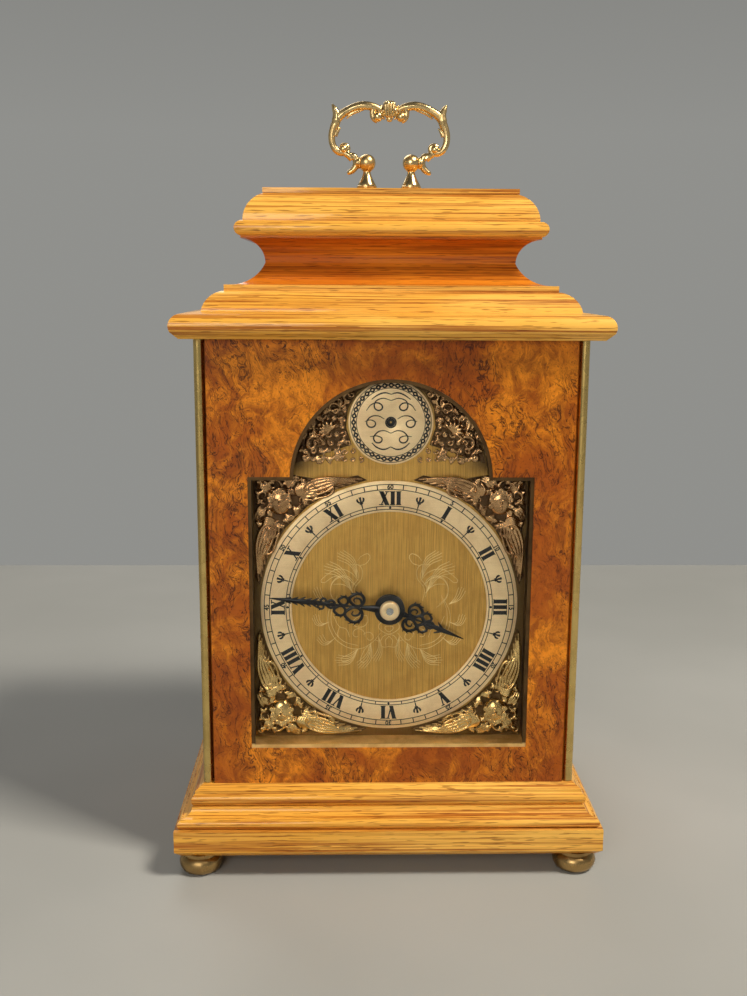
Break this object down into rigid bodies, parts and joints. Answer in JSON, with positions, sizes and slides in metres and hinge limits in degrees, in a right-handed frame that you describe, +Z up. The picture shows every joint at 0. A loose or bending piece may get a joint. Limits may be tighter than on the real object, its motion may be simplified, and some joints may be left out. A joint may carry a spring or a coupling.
{
  "type": "bracket clock",
  "caption": "Table clock with a moulded bell-top wooden case, carrying handle, arched brass dial, hands, hinged back door and a spring-driven wheel movement.",
  "frame": {"origin": "middle of the footprint at the bottom of the feet", "axes": "+X to the right as the dial is read, -Y out of the dial, +Z up"},
  "size_m": [0.172, 0.128, 0.3081],
  "materials": {
    "walnut": "french polished walnut",
    "burr_walnut": "french polished burr walnut veneer",
    "plain_wood": "stained satin",
    "case_brass": "polished and lacquered",
    "dial_brass": "matted and antiqued",
    "silvered_brass": "silvered, satin",
    "glass": "clear",
    "black_steel": "black oxide",
    "movement_brass": "brushed",
    "steel": "brushed"
  },
  "bodies": {
    "case": {"arch_boss": "silvered_brass", "arch_spandrels": "dial_brass", "balance_cock": "movement_brass", "base_board": "plain_wood", "bell_scotia": "walnut", "chapter_ring": "silvered_brass", "click_screw": "steel", "corner_columns": "case_brass", "cornice_board": "walnut", "dial_plate": "dial_brass", "dial_screws": "steel", "feet": "case_brass", "front_glass": "glass", "front_panel": "burr_walnut", "handle_post_left": "case_brass", "handle_post_right": "case_brass", "hinge_leaves_fixed": "case_brass", "lower_ovolo": "walnut", "movement_back_plate": "movement_brass", "movement_brackets": "steel", "movement_front_plate": "movement_brass", "pallet_cock": "movement_brass", "plate_pillars": "steel", "platform_plate": "movement_brass", "plinth_base": "walnut", "plinth_moulding": "walnut", "side_panel_left": "walnut", "side_panel_right": "walnut", "sight_edge": "case_brass", "spandrel_lower_left": "dial_brass", "spandrel_lower_right": "dial_brass", "spandrel_upper_left": "dial_brass", "spandrel_upper_right": "dial_brass", "top_cap": "walnut", "torus_board": "walnut"},
    "handle": {"handle_bail": "case_brass"},
    "door": {"back_door": "plain_wood", "hinge_leaves_door": "case_brass", "door_knob": "case_brass"},
    "hands": {"centre_arbor": "steel", "cannon_pinion": "movement_brass", "minute_hand": "black_steel", "hand_nut": "silvered_brass", "hand_setting_knob": "movement_brass"},
    "hour": {"hour_wheel": "movement_brass", "hour_hand": "black_steel"},
    "minute_work": {"minute_wheel": "movement_brass"},
    "barrel": {"barrel": "movement_brass"},
    "second": {"second_wheel": "movement_brass"},
    "centre": {"centre_wheel": "movement_brass"},
    "third": {"third_wheel": "movement_brass"},
    "fourth": {"fourth_wheel": "movement_brass"},
    "escape": {"escape_wheel": "movement_brass"},
    "lever": {"pallet_lever": "steel"},
    "balance": {"balance_wheel": "movement_brass"},
    "winding": {"winding_arbor": "steel", "ratchet_wheel": "steel"},
    "click": {"click": "steel"}
  },
  "joints": [
    {"name": "handle_swing", "type": "hinge", "parent": "case", "child": "handle", "pos_m": [0, 0, 0.2836], "axis": [1, 0, 0], "range_deg": [-110, 110]},
    {"name": "door_hinge", "type": "hinge", "parent": "case", "child": "door", "pos_m": [0.068, 0.0549, 0.1255], "axis": [0, 0, -1], "range_deg": [0, 110]},
    {"name": "hands_turn", "type": "hinge", "parent": "case", "child": "hands", "pos_m": [0, -0.0195, 0.1072], "axis": [0, 1, 0], "continuous": true},
    {"name": "hour_turn", "type": "hinge", "parent": "case", "child": "hour", "pos_m": [0, -0.0405, 0.1072], "axis": [0, 1, 0], "continuous": true},
    {"name": "minute_wheel_turn", "type": "hinge", "parent": "case", "child": "minute_work", "pos_m": [-0.01128, -0.036, 0.1031], "axis": [0, 1, 0], "continuous": true},
    {"name": "fourth_turn", "type": "hinge", "parent": "case", "child": "fourth", "pos_m": [-0.00408, -0.0195, 0.133], "axis": [0, 1, 0], "continuous": true},
    {"name": "third_turn", "type": "hinge", "parent": "case", "child": "third", "pos_m": [-0.0151, -0.0195, 0.11987], "axis": [0, 1, 0], "continuous": true},
    {"name": "centre_turn", "type": "hinge", "parent": "case", "child": "centre", "pos_m": [0, -0.0195, 0.1072], "axis": [0, 1, 0], "continuous": true},
    {"name": "second_turn", "type": "hinge", "parent": "case", "child": "second", "pos_m": [0.01732, -0.0195, 0.0943], "axis": [0, 1, 0], "continuous": true},
    {"name": "barrel_turn", "type": "hinge", "parent": "case", "child": "barrel", "pos_m": [0, -0.0195, 0.0732], "axis": [0, 1, 0], "continuous": true},
    {"name": "escape_turn", "type": "hinge", "parent": "case", "child": "escape", "pos_m": [0.0087, -0.0195, 0.13642], "axis": [0, 1, 0], "continuous": true},
    {"name": "lever_rock", "type": "hinge", "parent": "case", "child": "lever", "pos_m": [0.0149, -0.002, 0.13642], "axis": [0, 1, 0], "range_deg": [-4, 4]},
    {"name": "balance_swing", "type": "hinge", "parent": "case", "child": "balance", "pos_m": [0.0225, 0, 0.13642], "axis": [0, 1, 0], "range_deg": [-135, 135], "stiffness_Nm_per_rad": 0.000006},
    {"name": "winding_turn", "type": "hinge", "parent": "case", "child": "winding", "pos_m": [0, -0.004, 0.0732], "axis": [0, -1, 0], "range_deg": [0, 2304]},
    {"name": "click_lift", "type": "hinge", "parent": "case", "child": "click", "pos_m": [0.0135, -0.0045, 0.0732], "axis": [0, 1, 0], "range_deg": [0, 12], "stiffness_Nm_per_rad": 0.0001}
  ],
  "couplings": [
    {"joint": "hour_turn", "follows": "hands_turn", "ratio": 0.083333},
    {"joint": "minute_wheel_turn", "follows": "hands_turn", "ratio": -0.33333},
    {"joint": "third_turn", "follows": "fourth_turn", "ratio": -0.14286},
    {"joint": "centre_turn", "follows": "fourth_turn", "ratio": 0.017857},
    {"joint": "second_turn", "follows": "fourth_turn", "ratio": -0.0035714},
    {"joint": "barrel_turn", "follows": "fourth_turn", "ratio": 0.00059524},
    {"joint": "escape_turn", "follows": "fourth_turn", "ratio": -8}
  ]
}
